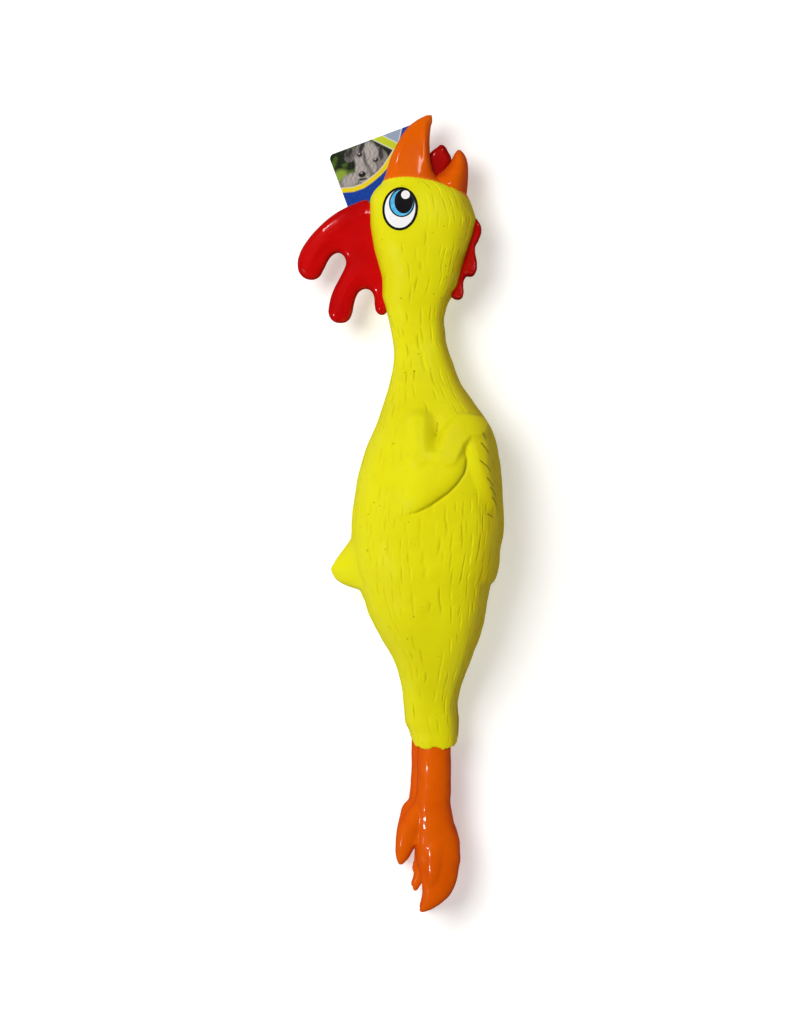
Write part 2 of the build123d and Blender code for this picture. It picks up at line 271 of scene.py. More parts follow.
def printed_eye():
    look = Look("eye_print", (0.8, 0.8, 0.8), 0.3, Specular_IOR_Level=0.05)
    black, white = (0.008, 0.007, 0.008), (0.92, 0.92, 0.93)

    def inside(label):
        """One inside that printed shape and zero outside, over a thin soft edge."""
        return look.ramp(look.stored(label), -0.06, 0.06, 1.0, 0.0)

    ball = look.mix(look.ramp(look.noise(700.0), 0.3, 0.7), white, (0.88, 0.88, 0.90))
    blue = look.mix(look.ramp(look.noise(380.0), 0.35, 0.65), (0.055, 0.42, 0.78), (0.14, 0.55, 0.86))
    colour = look.mix(inside("white"), black, ball)
    for label, ink in (("iris_line", black), ("iris", blue), ("pupil", black)):
        colour = look.mix(look.maths("MULTIPLY", inside(label), inside("white")), colour, ink)
    colour = look.mix(inside("shine"), colour, white)
    smear = look.noise(220.0)
    look.surface(Base_Color=colour, Roughness=look.ramp(smear, 0.3, 0.7, 0.3, 0.42))
    look.bump(smear, strength=0.08, distance=0.0003)
    return look.material


def printed_card():
    look = Look("tag_card", (0.8, 0.8, 0.8), 0.3, Specular_IOR_Level=0.12)
    grain = look.ramp(look.noise(1600.0), 0.35, 0.65)
    dots = look.maths("MULTIPLY", grain, 0.03)
    look.surface(Base_Color=look.mix(dots, look.stored("print", "Color"), (0.5, 0.5, 0.5)),
                 Roughness=look.ramp(grain, 0.0, 1.0, 0.26, 0.36))
    look.bump(grain, strength=0.1, distance=0.0001)
    return look.material


# ---------------------------------------------------------------- mesh helpers


def smooth_curve(knots, values, at):
    """Values at the points at, on a smooth curve through the knots that doesn't overshoot them."""
    knots, values = np.asarray(knots, float), np.asarray(values, float)
    step = np.diff(knots)
    slope = np.diff(values) / step
    tangent = np.empty_like(values)
    tangent[0], tangent[-1] = slope[0], slope[-1]
    both = slope[:-1] * slope[1:]
    total = np.where(both > 0, slope[:-1] + slope[1:], 1.0)
    tangent[1:-1] = np.where(both > 0, 2 * both / total, 0.0)
    i = np.clip(np.searchsorted(knots, at, side="right") - 1, 0, len(step) - 1)
    t = np.clip((at - knots[i]) / step[i], 0.0, 1.0)
    rise = (1 + 2 * t) * (1 - t) ** 2 * values[i] + t * t * (3 - 2 * t) * values[i + 1]
    lean = t * (1 - t) ** 2 * tangent[i] - t * t * (1 - t) * tangent[i + 1]
    return rise + step[i] * lean


def smoothstep(low, high, value):
    t = np.clip((value - low) / (high - low), 0.0, 1.0)
    return t * t * (3 - 2 * t)


def bell(distance, width):
    """One at no distance, falling smoothly to nothing over about two widths."""
    return np.exp(-((distance / width) ** 2))


def oval_bell(x, y, centre, size):
    return bell(np.hypot((x - centre[0]) / size[0], (y - centre[1]) / size[1]), 1.0)


def full_turn(count):
    """That many angles, evenly spaced round a whole turn."""
    return np.linspace(0.0, 2 * math.pi, count, endpoint=False)


def read_vectors(items, label):
    values = np.empty(len(items) * 3)
    items.foreach_get(label, values)
    return values.reshape(-1, 3)


def store(piece, label, values, kind="FLOAT", field="value"):
    """Stores a value for every point of the piece, which its material can read."""
    stored = piece.data.attributes.new(label, kind, "POINT")
    stored.data.foreach_set(field, np.asarray(values, np.float32).ravel())


def make_mesh(name, points_mm, faces, smooth=True, **stored_values):
    """A mesh object from points in millimetres, with one number for every point under each label."""
    mesh = bpy.data.meshes.new(name)
    mesh.from_pydata((np.asarray(points_mm, float) * MM).tolist(), [], faces)
    mesh.update()
    if smooth:
        mesh.shade_smooth()
    piece = add_object(name, mesh)
    for label, values in stored_values.items():
        store(piece, label, values)
    return piece


def grid_faces(rows, columns):
    """Quads of a tube whose points run round each row, and then up row by row."""
    j, i = np.meshgrid(np.arange(rows - 1), np.arange(columns), indexing="ij")
    a = j * columns + i
    b = j * columns + (i + 1) % columns
    return np.stack([a, a + columns, b + columns, b], -1).reshape(-1, 4)


def edge_shade_share(piece, least, most):
    """How much painted shade darkens a point, where its piece's surface turns to an outer edge seen from above
    or below, a little more on the +X side: from least to most.
    """
    normals = read_vectors(piece.data.vertex_normals, "vector")
    lean = np.hypot(normals[:, 0], normals[:, 1])
    return least + (most - least) * smoothstep(0.45, 1.0, lean) * (0.75 + 0.25 * normals[:, 0])


def finish_piece(piece, material, slot, body, *nodes, edge=(0.0, 1.0)):
    store(piece, "rest_place", read_vectors(piece.data.vertices, "co"), "FLOAT_VECTOR", "vector")
    # Painted shade: how much the glossy paints darken each point towards the piece's sides.
    store(piece, "edge", edge_shade_share(piece, *edge))
    piece.data.materials.append(material)
    if nodes:
        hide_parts(*nodes)
    if isinstance(body, str):
        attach(piece, body)
    else:
        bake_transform(piece)


# ---------------------------------------------------------------- the yellow skin: base form

# The outline seen from above, as (y, x) points up its back and its belly, from the legs to the beak's tip.
BACK_EDGE = (
    (-137, 7), (-128, 6), (-120, 2.7), (-102, 1.2), (-93, -0.6), (-84, -4), (-75, -9), (-65, -14.5),
    (-56, -18.5), (-40, -23), (-26, -26.5), (-10, -27.7), (13, -25.4), (36, -19.7), (55, -12.1), (73, -6.4),
    (90, -3.5), (101, -4.6), (118, -8.1), (126, -10.5), (134, -10.6), (143, -12.7), (154, -15.9), (169, -17.6),
    (180, -17.3), (185.5, -15), (191, -10.2), (194, -8.9), (204, -5.8), (214, -1.2), (222.5, 4.2),
    (227.6, 10.6), (229.9, 15.2),
)
BELLY_EDGE = (
    (-137, 33.4), (-121, 34.1), (-112, 33.5), (-102, 34.7), (-93, 37.6), (-75, 44.5), (-56, 49.7), (-42, 52),
    (-28, 56.2), (-8, 59.5), (13, 59), (36, 56.1), (46, 53.2), (55, 48.6), (64, 42.2), (73, 36.4),
    (83, 31.8), (92, 28.3), (101, 26), (111, 25.4), (118, 26.9), (134, 33.6), (143, 36.4), (154, 40.2),
    (169, 43.5), (176, 41.5), (184, 38.4), (188, 34), (193, 22.8), (198, 18.9), (206, 17.4), (214, 17.1),
    (222.5, 17.7), (227, 18.7), (229.9, 18.3),
)
# Half of the thickness, and the height of its middle, along y.
HALF_THICKNESS = (
    (-137, 18), (-121, 19), (-107, 21), (-93, 24.5), (-79, 28), (-65, 31), (-47, 33.6), (-28, 35.4),
    (0, 36), (13, 36), (36, 33), (55, 27.2), (72, 20.2), (87, 15.8), (100, 14.2), (112, 14.6),
    (125, 17.8), (140, 21.2), (153, 23.2), (166, 24), (176, 23), (184, 20.6), (189, 17.7), (193, 15.6),
    (198, 14.2), (204, 12.9), (210, 11.6), (216, 9.9), (222.5, 7.3), (227.5, 4.5), (229.9, 1.8),
)
MIDDLE_HEIGHT = (
    (-137, 18.7), (-121, 20), (-107, 22.5), (-93, 27), (-79, 31), (-65, 34), (-47, 36.6), (-28, 38),
    (13, 38), (36, 37), (55, 34.4), (72, 31), (87, 28.4), (100, 27), (112, 26.2), (125, 26),
)
HEAD_HEIGHT = 26.0

COLUMNS = 600
LEG_END, TIP_START, BEAK_TIP = -137.0, 224.0, 229.9
RIM_HIGH, RIM_DROP = -128.0, 7.2
RIM_BLEND_TOP = -108.0
LOWER_SEAM, NECK_SEAM = -15.0, 93.0


def table(rows, y):
    knots, values = zip(*rows)
    return smooth_curve(knots, values, y)


def skin_form(y):
    """Middle x, half depth, middle height and half thickness of the skin at y."""
    back, belly = table(BACK_EDGE, y), table(BELLY_EDGE, y)
    return (back + belly) / 2, (belly - back) / 2, table(MIDDLE_HEIGHT, y), table(HALF_THICKNESS, y)


def squareness(y):
    """Exponent of the skin's sections: 2 is an ellipse, more is flatter with tighter sides."""
    return 2.6 + 1.5 * smoothstep(191.0, 202.0, y) - 1.8 * smoothstep(217.0, 228.0, y)


def skin_rows():
    """Heights of the grid's rows: finer where the relief is fine, and packed towards the beak's tip."""
    stretches = (
        (LEG_END, -15.0, 0.9), (-15.0, 66.0, 0.62), (66.0, 93.0, 0.85), (93.0, 160.0, 0.8),
        (160.0, 196.0, 0.6), (196.0, TIP_START, 0.8),
    )
    rows = [np.linspace(a, b, round((b - a) / step), endpoint=False) for a, b, step in stretches]
    rows.append(TIP_START + (BEAK_TIP - TIP_START) * np.sin(np.linspace(0.0, math.pi / 2, 26)))
    return np.concatenate(rows)


def rim_line(angle):
    """The skin's lower edge round the legs: high at the sides, with two scallops on each face."""
    face = np.abs(np.sin(angle))
    scallop = 0.6 * np.cos(2.0 * math.pi * np.cos(angle) / 0.62)
    ragged = 0.22 * np.sin(17.0 * angle + 0.7) + 0.18 * np.sin(31.0 * angle + 2.1)
    return RIM_HIGH - RIM_DROP * smoothstep(0.0, 0.85, face) + (scallop + ragged) * smoothstep(0.3, 0.8, face)


def skin_base():
    """Points of the plain form as a grid [row, column], before any relief, and the columns' angles."""
    angle = full_turn(COLUMNS)[None, :]
    level = skin_rows()[:, None]
    share = np.clip((level - LEG_END) / (RIM_BLEND_TOP - LEG_END), 0.0, 1.0)
    rim = rim_line(angle)
    y = np.where(level < RIM_BLEND_TOP, rim + (RIM_BLEND_TOP - rim) * share, level + 0 * angle)
    middle, depth, height, thickness = skin_form(y)
    power = 2.0 / squareness(y)
    x = middle + depth * np.sign(np.cos(angle)) * np.abs(np.cos(angle)) ** power
    z = height + thickness * np.sign(np.sin(angle)) * np.abs(np.sin(angle)) ** power
    return np.stack([x, y, z], -1), angle


def grid_normals(points):
    along = np.gradient(points, axis=0)
    around = np.roll(points, -1, axis=1) - np.roll(points, 1, axis=1)
    normals = np.cross(along, around)
    length = np.linalg.norm(normals, axis=-1, keepdims=True)
    return normals / np.maximum(length, 1e-9)


# ---------------------------------------------------------------- the yellow skin: relief


def capsule(x, y, first, last, radius_first, radius_last):
    """Signed distance to a straight tapered band, negative inside."""
    first, last = np.array(first), np.array(last)
    way = last - first
    t = np.clip(((x - first[0]) * way[0] + (y - first[1]) * way[1]) / (way @ way), 0.0, 1.0)
    gap = np.hypot(x - first[0] - t * way[0], y - first[1] - t * way[1])
    return gap - (radius_first + (radius_last - radius_first) * t)


def line_distance(x, y, points):
    """Distance to a run of straight pieces through the points."""
    pairs = zip(points[:-1], points[1:])
    return np.min([capsule(x, y, a, b, 0.0, 0.0) for a, b in pairs], axis=0)


def outline_depth(x, y, outline):
    """Signed distance to a closed outline, positive inside."""
    closed = list(outline) + [outline[0]]
    inside = np.zeros(np.shape(x), bool)
    for (ax, ay), (bx, by) in zip(closed[:-1], closed[1:]):
        if ay != by:
            crossing = (y > min(ay, by)) & (y <= max(ay, by)) & (x < ax + (y - ay) * (bx - ax) / (by - ay))
            inside ^= crossing
    return np.where(inside, 1.0, -1.0) * line_distance(x, y, closed)


def swell(distance, height, soft):
    """A rounded rise of that height inside a shape, reached over the soft distance from its edge."""
    return height * np.sqrt(np.clip(1.0 - (1.0 - np.clip(-distance / soft, 0.0, 1.0)) ** 2, 0.0, 1.0))


ARM_EDGE = (
    (0.5, -1.6), (9.4, 0.8), (15.5, 3.6), (20.9, 7.2), (27, 11.6), (32.1, 16.8), (35.8, 22.2), (37, 26.5),
    (37.4, 30.5), (36.6, 34),
)
ARM_BACK = ((33, 37.5), (25, 40.5), (16, 39.5), (6, 34), (-2, 22), (-4, 6))
SHOULDER_RUN = ((11.2, 51.5, 9.6), (11.4, 40, 9.2), (11.2, 30, 10))
ELBOW_RUN = ((9, 31, 6.2), (22, 30.6, 6.6))
FOREARM_RUN = ((26.4, 31, 9), (30.4, 42, 9.6), (36, 48.2, 9.8), (42, 47.8, 9))
HAND_RUN = (
    (41.5, 47, 9.6), (44.5, 36, 9.2), (46.2, 26, 8.2), (49.5, 13, 6.8), (52.4, 4.5, 4.8), (54.2, 0.6, 2.6),
)
CRACK = ((21.4, 52), (21.2, 48), (20.5, 44.5))
HAND_STROKES = (
    ((45, 38.9), (49, 34)), ((44.4, 29.2), (50.6, 23.9)), ((45.2, 43.8), (48, 41.5)),
    ((50, 14.4), (54, 10)), ((48.2, 19.6), (52, 15.3)), ((51, 8.8), (54.2, 5.1)),
    ((50.4, -0.7), (53, -1.9)),
)


def mound(x, y, run, height, soft):
    """A soft-sided rise along a run of (x, y, radius)."""
    total = np.zeros_like(x)
    for (ax, ay, ar), (bx, by, br) in zip(run[:-1], run[1:]):
        depth = -capsule(x, y, (ax, ay), (bx, by), ar, br)
        total = np.maximum(total, height * smoothstep(0.0, soft, depth))
    return total


def merged(parts, rate):
    """The highest of several rises at each point, with soft valleys between them."""
    total = sum(np.exp(rate * part) for part in parts) - (len(parts) - 1)
    return np.log(total) / rate


def arm_relief(x, y, inside, edge):
    """Height of the folded upper arm, steep along its drawn edge and soft along its back."""
    soft_edge = line_distance(x, y, (ARM_EDGE[-1],) + ARM_BACK + (ARM_EDGE[0],))
    crisp = smoothstep(-5.0, 5.0, soft_edge - edge)
    depth = np.maximum(inside, 0.0)
    back = line_distance(x, y, ARM_BACK[3:] + (ARM_EDGE[0],))
    arm = crisp * swell(-depth, 1.0, 8.0) + (1.0 - crisp) * smoothstep(0.0, 9.0, depth)
    return 3.5 * arm * (0.15 + 0.85 * smoothstep(0.0, 17.0, back))


def wing_relief(x, y):
    """Height of the folded wing over the body at (x, y), its cover from 0 to 1, and painted shade in its
    creases, crack, strokes and the hollow by the shoulder.
    """
    inside = outline_depth(x, y, ARM_EDGE + ARM_BACK)
    edge = line_distance(x, y, ARM_EDGE)
    height = merged((
        arm_relief(x, y, inside, edge),
        mound(x, y, SHOULDER_RUN, height=3.5, soft=8.0),
        mound(x, y, ELBOW_RUN, height=3.4, soft=4.2),
        mound(x, y, FOREARM_RUN, height=4.1, soft=4.6),
        mound(x, y, HAND_RUN, height=2.8, soft=7.5),
    ), rate=1.5)
    height -= 1.1 * oval_bell(x, y, (21.2, 44.5), (3.2, 7.5))
    side = edge * np.where(inside > 0, 1.0, -1.0)
    fall = smoothstep(0.0, 14.0, x) * (1.0 - smoothstep(24.0, 34.0, y))
    height -= 0.45 * bell(side + 0.7, 0.8) * fall
    # Painted shade: darker along the arm's edge crease and in the hollow by the shoulder, and below along the
    # crack and the hand's strokes.
    crease_shades = [0.55 * bell(side + 0.3, 0.75) * fall, 0.3 * oval_bell(x, y, (20.4, 44.0), (4.4, 7.0))]
    crack = line_distance(x, y, CRACK)
    height -= 0.4 * bell(crack, 0.4)
    crease_shades.append(0.75 * bell(crack, 0.38))
    for ends in HAND_STROKES:
        stroke = line_distance(x, y, ends)
        height -= 0.6 * bell(stroke, 0.5)
        crease_shades.append(0.9 * bell(stroke, 0.42))
    return height, smoothstep(0.2, 1.4, height), np.max(crease_shades, axis=0)


TAIL_EDGE = (
    (-50, 0), (-44.5, 1), (-42.2, 7.2), (-39.8, 11.5), (-37, 13.9), (-33, 14.6), (-28.3, 11.6),
    (-23.7, 8), (-19, 4), (-14, 0.5), (-10, 0),
)
TAIL_HALF_THICKNESS = 9.0


STROKES_LOW, STROKES_HIGH = -131.0, 188.0
NECK_START = 70.0


def strokes(points, angle):
    """Fine grooves along the body, as a height grid and a painted-shade grid that darkens them, over the skin's
    grid of points.
    """
    height = np.zeros(points.shape[:2])
    dark = np.zeros(points.shape[:2])
    level = STROKES_LOW
    row = 0
    while level < STROKES_HIGH:
        step, pitch = (9.5, 5.2) if level < NECK_START else (9.0, 4.6)
        middle, depth, _, thickness = [float(v) for v in skin_form(np.array(level))]
        round_length = 2 * math.pi * math.sqrt((depth ** 2 + thickness ** 2) / 2)
        count = int(round_length / pitch)
        for k in range(count):
            at = (k + 0.5 * (row % 2) + random.uniform(-0.27, 0.27)) / count * 2 * math.pi % (2 * math.pi)
            y_mid = level + random.uniform(-0.3, 0.3) * step
            half_length = random.uniform(0.7, 1.4) * step / 2
            cut = random.uniform(0.25, 0.52)
            bend = random.normal() * 0.4
            lean = random.normal() * 0.18
            lip_side = random.choice((-1.0, 1.0), p=(0.35, 0.65))
            shade_depth = random.uniform(0.12, 0.6)
            skip = random.random()
            if skip > stroke_share(middle + depth * math.cos(at), y_mid, math.cos(at)):
                continue
            radius = math.hypot(depth * math.sin(at), thickness * math.cos(at))
            apart = ((angle[0] - at + math.pi) % (2 * math.pi) - math.pi) * radius
            rows = np.flatnonzero(np.abs(points[:, 0, 1] - y_mid) < half_length + 1.0)
            columns = np.flatnonzero(np.abs(apart) < 6.0)
            window = np.ix_(rows, columns)
            along = (points[window][..., 1] - y_mid) / half_length
            taper = np.clip(1.0 - along ** 2, 0.0, 1.0) ** 0.8
            across = apart[columns][None, :] - bend * along ** 2 - lean * along
            lip = 0.35 * bell(across - lip_side * 0.95, 0.75) + 0.45 * bell(across - lip_side * 2.8, 2.2)
            height[window] += taper * cut * (lip - bell(across, 0.4))
            # Painted shade: darker along the bottom of each groove.
            dark[window] = np.maximum(dark[window], taper * shade_depth * bell(across, 0.28))
        level += step
        row += 1
    return height, dark


def stroke_share(x, y, side):
    """How likely a stroke is at a place: fewer on the back, none round the eye, few on the arm."""
    if y > 158.0 and x < 13.0:
        return 0.0
    if y > 120.0 and x < 4.0:
        return 0.12
    if 5.0 < y < 66.0:
        return 0.3
    return 0.7 if y > 84.0 or y < -62.0 or abs(side) >= 0.75 else 0.95


PIT_COUNT = 70


def pits(points):
    """Small pin-holes, as a height grid and a painted-shade grid that darkens them."""
    height = np.zeros(points.shape[:2])
    dark = np.zeros(points.shape[:2])
    for _ in range(PIT_COUNT):
        j = random.integers(40, int(points.shape[0] * 0.82))
        i = random.integers(0, COLUMNS)
        size = random.uniform(0.3, 0.55)
        patch = np.ix_(np.arange(j - 5, j + 6), np.arange(i - 9, i + 10) % COLUMNS)
        spot = bell(np.linalg.norm(points[patch] - points[j, i], axis=-1), size)
        height[patch] -= 0.25 * spot
        # Painted shade: each pin-hole is darkened.
        dark[patch] = np.maximum(dark[patch], spot)
    return height, dark


WAVE_COUNT = 14


def undulation(points, shortest, longest):
    """Shallow unevenness of hand-poured rubber, from waves of lengths in between."""
    total = np.zeros(points.shape[:-1])
    for _ in range(WAVE_COUNT):
        direction = random.normal(size=3)
        direction /= np.linalg.norm(direction)
        wavelength = random.uniform(shortest, longest)
        phase = random.uniform(0.0, 2 * math.pi)
        total += np.sin(points @ direction * (2 * math.pi / wavelength) + phase)
    return total * 0.075


# The border where the yellow stops and the orange of the beak starts, as (x, y).
PAINT_BORDER = (
    (-16, 190), (-9.1, 191.6), (-2, 192.7), (3.6, 193), (11.7, 192.2), (19.8, 190.6), (28, 187.8),
    (33.6, 185.2), (38.1, 182.2), (44, 177.6),
)
BEAK_SPLIT = 1.5  # the beak's piece starts this far beyond the border, inside the orange


def spray_distance(points):
    """Millimetres beyond the paint border, positive on the orange side."""
    x, y = points[..., 0], points[..., 1]
    border = table(PAINT_BORDER, x)
    slope = table(PAINT_BORDER, x + 0.5) - table(PAINT_BORDER, x - 0.5)
    ragged = 0.12 * np.sin(x * 2.3) + 0.1 * np.sin(x * 5.1 + 1.0)
    return (y - border + ragged) / np.hypot(1.0, slope)


EYE_CENTRE = (0.1, 174.2)
SQUEAKER_MIDDLE = (16.5, -62.0)
SQUEAKER_R = 9.0
SQUEAKER_DEPTH = 7.4  # the skin is drawn in to this height there, so that the squeaker's cup shows


def shape_skin():
    """Final points and painted groove shade of the whole skin, from the rim round the legs to the beak's tip.
    """
    points, angle = skin_base()
    normals = grid_normals(points)
    x, y, z = points[..., 0], points[..., 1], points[..., 2]
    middle, depth, centre, _ = skin_form(y)
    belly_side = np.cos(angle) + 0 * y
    wing, cover, crease_shade = wing_relief(x, y)
    on_face = smoothstep(0.12, 0.4, np.abs(np.sin(angle)) + 0 * y)
    stroke_height, stroke_shade = strokes(points, angle)
    pit_height, pit_shade = pits(points)

    beak = smoothstep(-1.0, 2.5, spray_distance(points))
    eye_gap = np.hypot((x - EYE_CENTRE[0]) / 13.0, (y - EYE_CENTRE[1]) / 15.5)
    fin = table(TAIL_EDGE, y) * (belly_side < 0)
    tail = smoothstep(1.0, 4.0, fin) * smoothstep(26.0, 14.0, np.abs(z - centre))
    plain = np.max([beak, 1.0 - smoothstep(0.9, 1.3, eye_gap), tail], axis=0)
    fine = (1.0 - 0.8 * cover * on_face) * (1.0 - plain)

    height = wing * on_face + (stroke_height + pit_height) * fine
    height += undulation(points, 18.0, 46.0) * (1.0 - plain)
    breast_fold = smoothstep(-41.5, -38.5, y) * (1.0 - smoothstep(-36.0, -18.0, y))
    height += 1.3 * breast_fold * smoothstep(0.72, 0.93, belly_side)
    mouth_ridge = 0.8 * bell(middle + depth - 3.2 - x, 1.6)
    height += mouth_ridge * smoothstep(198.0, 208.0, y) * smoothstep(228.0, 222.0, y) * on_face
    points = points + normals * height[..., None]

    points[..., 0] -= fin * (1.0 - smoothstep(0.1, 1.7, np.abs(z - centre) / TAIL_HALF_THICKNESS))
    low = points[..., 2]
    points[..., 2] = (low + np.sqrt(low ** 2 + 0.5 ** 2)) / 2

    gap = np.hypot(points[..., 0] - SQUEAKER_MIDDLE[0], points[..., 1] - SQUEAKER_MIDDLE[1])
    under = np.sin(angle) + 0 * y < 0
    opening = (1.0 - smoothstep(SQUEAKER_R, SQUEAKER_R + 0.9, gap)) * under
    points[..., 2] += opening * (SQUEAKER_DEPTH - points[..., 2])
    points[..., 2] -= 0.8 * bell(gap - SQUEAKER_R - 2.2, 1.1) * under

    return points, np.max([stroke_shade * fine, pit_shade * fine, crease_shade * on_face], axis=0)


LIP_STEPS = ((-0.25, 0.6), (-0.2, 1.4), (0.5, 2.2), (1.6, 2.9), (2.6, 3.4))
WEB_STEPS = (0.8, 0.55, 0.3, 0.1)


def rim_rows(points):
    """Rows that turn the skin's lower edge inwards and close it between the legs, innermost first."""
    edge = points[0]
    middle, _, centre, _ = skin_form(edge[:, 1])
    axis = np.stack([middle, edge[:, 1], centre], -1)
    outward = edge - axis
    length = np.linalg.norm(outward, axis=-1, keepdims=True)
    rows = []
    for rise, inset in LIP_STEPS:
        row = axis + outward * (1.0 - inset / length)
        row[:, 1] += rise
        rows.append(row)
    inner = rows[-1]
    centre_point = np.array([inner[:, 0].mean(), inner[:, 1].max() + 0.5, inner[:, 2].mean()])
    for share in WEB_STEPS:
        rows.append(centre_point + (inner - centre_point) * share)
    return np.array(rows[::-1])


def closed_faces(rows, columns):
    """Quads of a tube's grid of points, and the fans that close its ends round two more points."""
    ring = np.arange(columns)
    following = (ring + 1) % columns
    middle = np.full(columns, rows * columns)
    last = (rows - 1) * columns
    start_fan = np.stack([ring, following, middle], -1)
    end_fan = np.stack([last + following, last + ring, middle + 1], -1)
    return grid_faces(rows, columns), np.concatenate([start_fan, end_fan])


def tube_points(grid):
    """A grid's points in one list, with the middles of its first and last row after them."""
    return np.concatenate([grid.reshape(-1, 3), grid[:1].mean(axis=1), grid[-1:].mean(axis=1)])


def closed_tube(x, y, z):
    """Points and faces of a closed tube through grids of coordinates."""
    grid = np.stack(np.broadcast_arrays(x, y, z), -1)
    quads, fans = closed_faces(*grid.shape[:2])
    return tube_points(grid), quads.tolist() + fans.tolist()


def skin_piece(name, points, normals, faces, values):
    """An object from some faces of the skin, which keeps the whole skin's smooth normals."""
    used = np.unique(np.concatenate([part.ravel() for part in faces]))
    place = np.zeros(len(points), int)
    place[used] = np.arange(len(used))
    lists = [face for part in faces for face in place[part].tolist()]
    piece = make_mesh(name, points[used], lists, **{label: value[used] for label, value in values.items()})
    piece.data.normals_split_custom_set_from_vertices(normals[used].tolist())
    return piece


def mm_point(x, y, z):
    return (x * MM, y * MM, z * MM)


def make_skin():
    body, painted_groove_shade = shape_skin()
    rim = rim_rows(body)
    grid = np.concatenate([rim, body])
    points = tube_points(grid)
    normals = np.concatenate([grid_normals(grid).reshape(-1, 3), [[0.0, -1.0, 0.0], [0.0, 1.0, 0.0]]])
    spray = spray_distance(points)
    side = np.append(np.tile(np.cos(full_turn(COLUMNS)), len(grid)), [0.0, 0.0])
    values = {
        # Painted shade in the grooves, pits and creases.
        "painted_groove_shade": np.concatenate([np.zeros(len(rim) * COLUMNS), painted_groove_shade.ravel(), [0.0, 0.0]]),
        "spray": spray,
        # Painted shade: how far a point lies towards the belly side.
        "belly": smoothstep(0.35, 1.0, side),
        # Browner towards the thighs' belly-side edge.
        "thigh_edge_brown": smoothstep(0.86, 0.99, side) * smoothstep(-90.0, -116.0, points[:, 1]),
    }
    quads, fans = closed_faces(len(grid), COLUMNS)
    level = np.repeat(np.append(np.full(len(rim), LEG_END), body[:-1, 0, 1]), COLUMNS)
    beyond = spray[quads].mean(axis=1) > BEAK_SPLIT
    latex = yellow_latex()
    lower = ("torso", "hips", mm_point(17.7, -95.0, 22.8), mm_point(17.7, -120.0, 22.8))
    middle = ("torso", "neck", mm_point(14.3, 66.0, 29.7), mm_point(14.3, 92.5, 29.7))
    upper = ("neck", "head", mm_point(11.6, 94.0, 26.6), mm_point(11.6, 117.0, 26.6))
    below, above = level < LOWER_SEAM, level >= NECK_SEAM
    for name, chosen, caps, blend, nodes in (
        ("skin_lower", below, fans[:COLUMNS], lower, ("torso_shell", "hip_bend", "thigh_shell")),
        ("skin_mid", ~below & ~above, fans[:0], middle, ("neck_base_bend", "neck_tube")),
        ("skin_upper", above & ~beyond, fans[:0], upper, ("head_bend", "head_shell")),
    ):
        piece = skin_piece(name, points, normals, (quads[chosen], caps), values)
        finish_piece(piece, latex, "yellow_latex", blend, *nodes)
    piece = skin_piece("beak_upper", points, normals, (quads[beyond], fans[COLUMNS:]), values)
    finish_piece(piece, orange, "orange_paint", "head", "upper_beak", edge=(0.0, 0.2))


# ---------------------------------------------------------------- lower beak and tongue

# Mouth side x, outer side x and half thickness along y.
LOWER_BEAK = (
    (178, 25, 36.5, 11), (183, 18, 38.3, 14.8), (188.5, 15.5, 39, 15), (192.4, 17, 39.3, 13.6),
    (195.2, 21, 39.4, 11.9), (198.1, 24.8, 39.4, 10.4), (200.5, 27, 39.3, 8.8), (204.6, 29.9, 38.5, 6.2),
    (207.8, 31.6, 36.9, 3.8), (209.8, 33.2, 35, 1.2),
)
LOWER_BEAK_ROUND = 204.0  # its rows are packed closer from here to its tip


def make_lower_beak():
    tip = LOWER_BEAK[-1][0]
    turn = np.linspace(0.05, math.pi / 2, 24)
    straight = np.linspace(LOWER_BEAK[0][0], LOWER_BEAK_ROUND, 60)
    y = np.append(straight, LOWER_BEAK_ROUND + (tip - LOWER_BEAK_ROUND) * np.sin(turn))[:, None]
    inner, outer, thick = [table([(row[0], row[k]) for row in LOWER_BEAK], y) for k in (1, 2, 3)]
    angle = full_turn(160)[None, :]
    x = (inner + outer) / 2 + (outer - inner) / 2 * np.cos(angle)
    piece = make_mesh("beak_lower", *closed_tube(x, y, HEAD_HEIGHT + thick * np.sin(angle)))
    finish_piece(piece, orange, "orange_paint", "head", "lower_beak")


def settled(piece):
    """Applies the piece's modifiers, and turns a curve into a mesh."""
    graph = bpy.context.evaluated_depsgraph_get()
    mesh = bpy.data.meshes.new_from_object(piece.evaluated_get(graph))
    mesh.shade_smooth()
    name = piece.name
    bpy.data.objects.remove(piece)
    return add_object(name, mesh)


def remeshed(piece, voxel_mm, smoothing):
    """One closed, even skin round everything in the piece's mesh, softened."""
    remesh = piece.modifiers.new("remesh", "REMESH")
    remesh.mode = "VOXEL"
    remesh.voxel_size = voxel_mm * MM
    smooth = piece.modifiers.new("smooth", "SMOOTH")
    smooth.factor = 0.5
    smooth.iterations = smoothing
    return settled(piece)


def slab(name, outline, half_thickness, rim, middle_height=HEAD_HEIGHT):
    """A thick plate with a rounded rim, from a smooth closed outline in (x, y)."""
    curve = bpy.data.curves.new(name, "CURVE")
    curve.dimensions = "2D"
    curve.fill_mode = "BOTH"
    curve.resolution_u = 10
    curve.extrude = (half_thickness - rim) * MM
    curve.bevel_depth = rim * MM
    curve.bevel_resolution = 8
    curve.offset = -rim * MM
    spline = curve.splines.new("BEZIER")
    spline.bezier_points.add(len(outline) - 1)
    for knot, (x, y) in zip(spline.bezier_points, outline):
        knot.co = mm_point(x, y, 0.0)
        knot.handle_left_type = "AUTO"
        knot.handle_right_type = "AUTO"
    spline.use_cyclic_u = True
    plate = settled(add_object(name, curve))
    plate.data.transform(Matrix.Translation((0.0, 0.0, middle_height * MM)))
    return plate


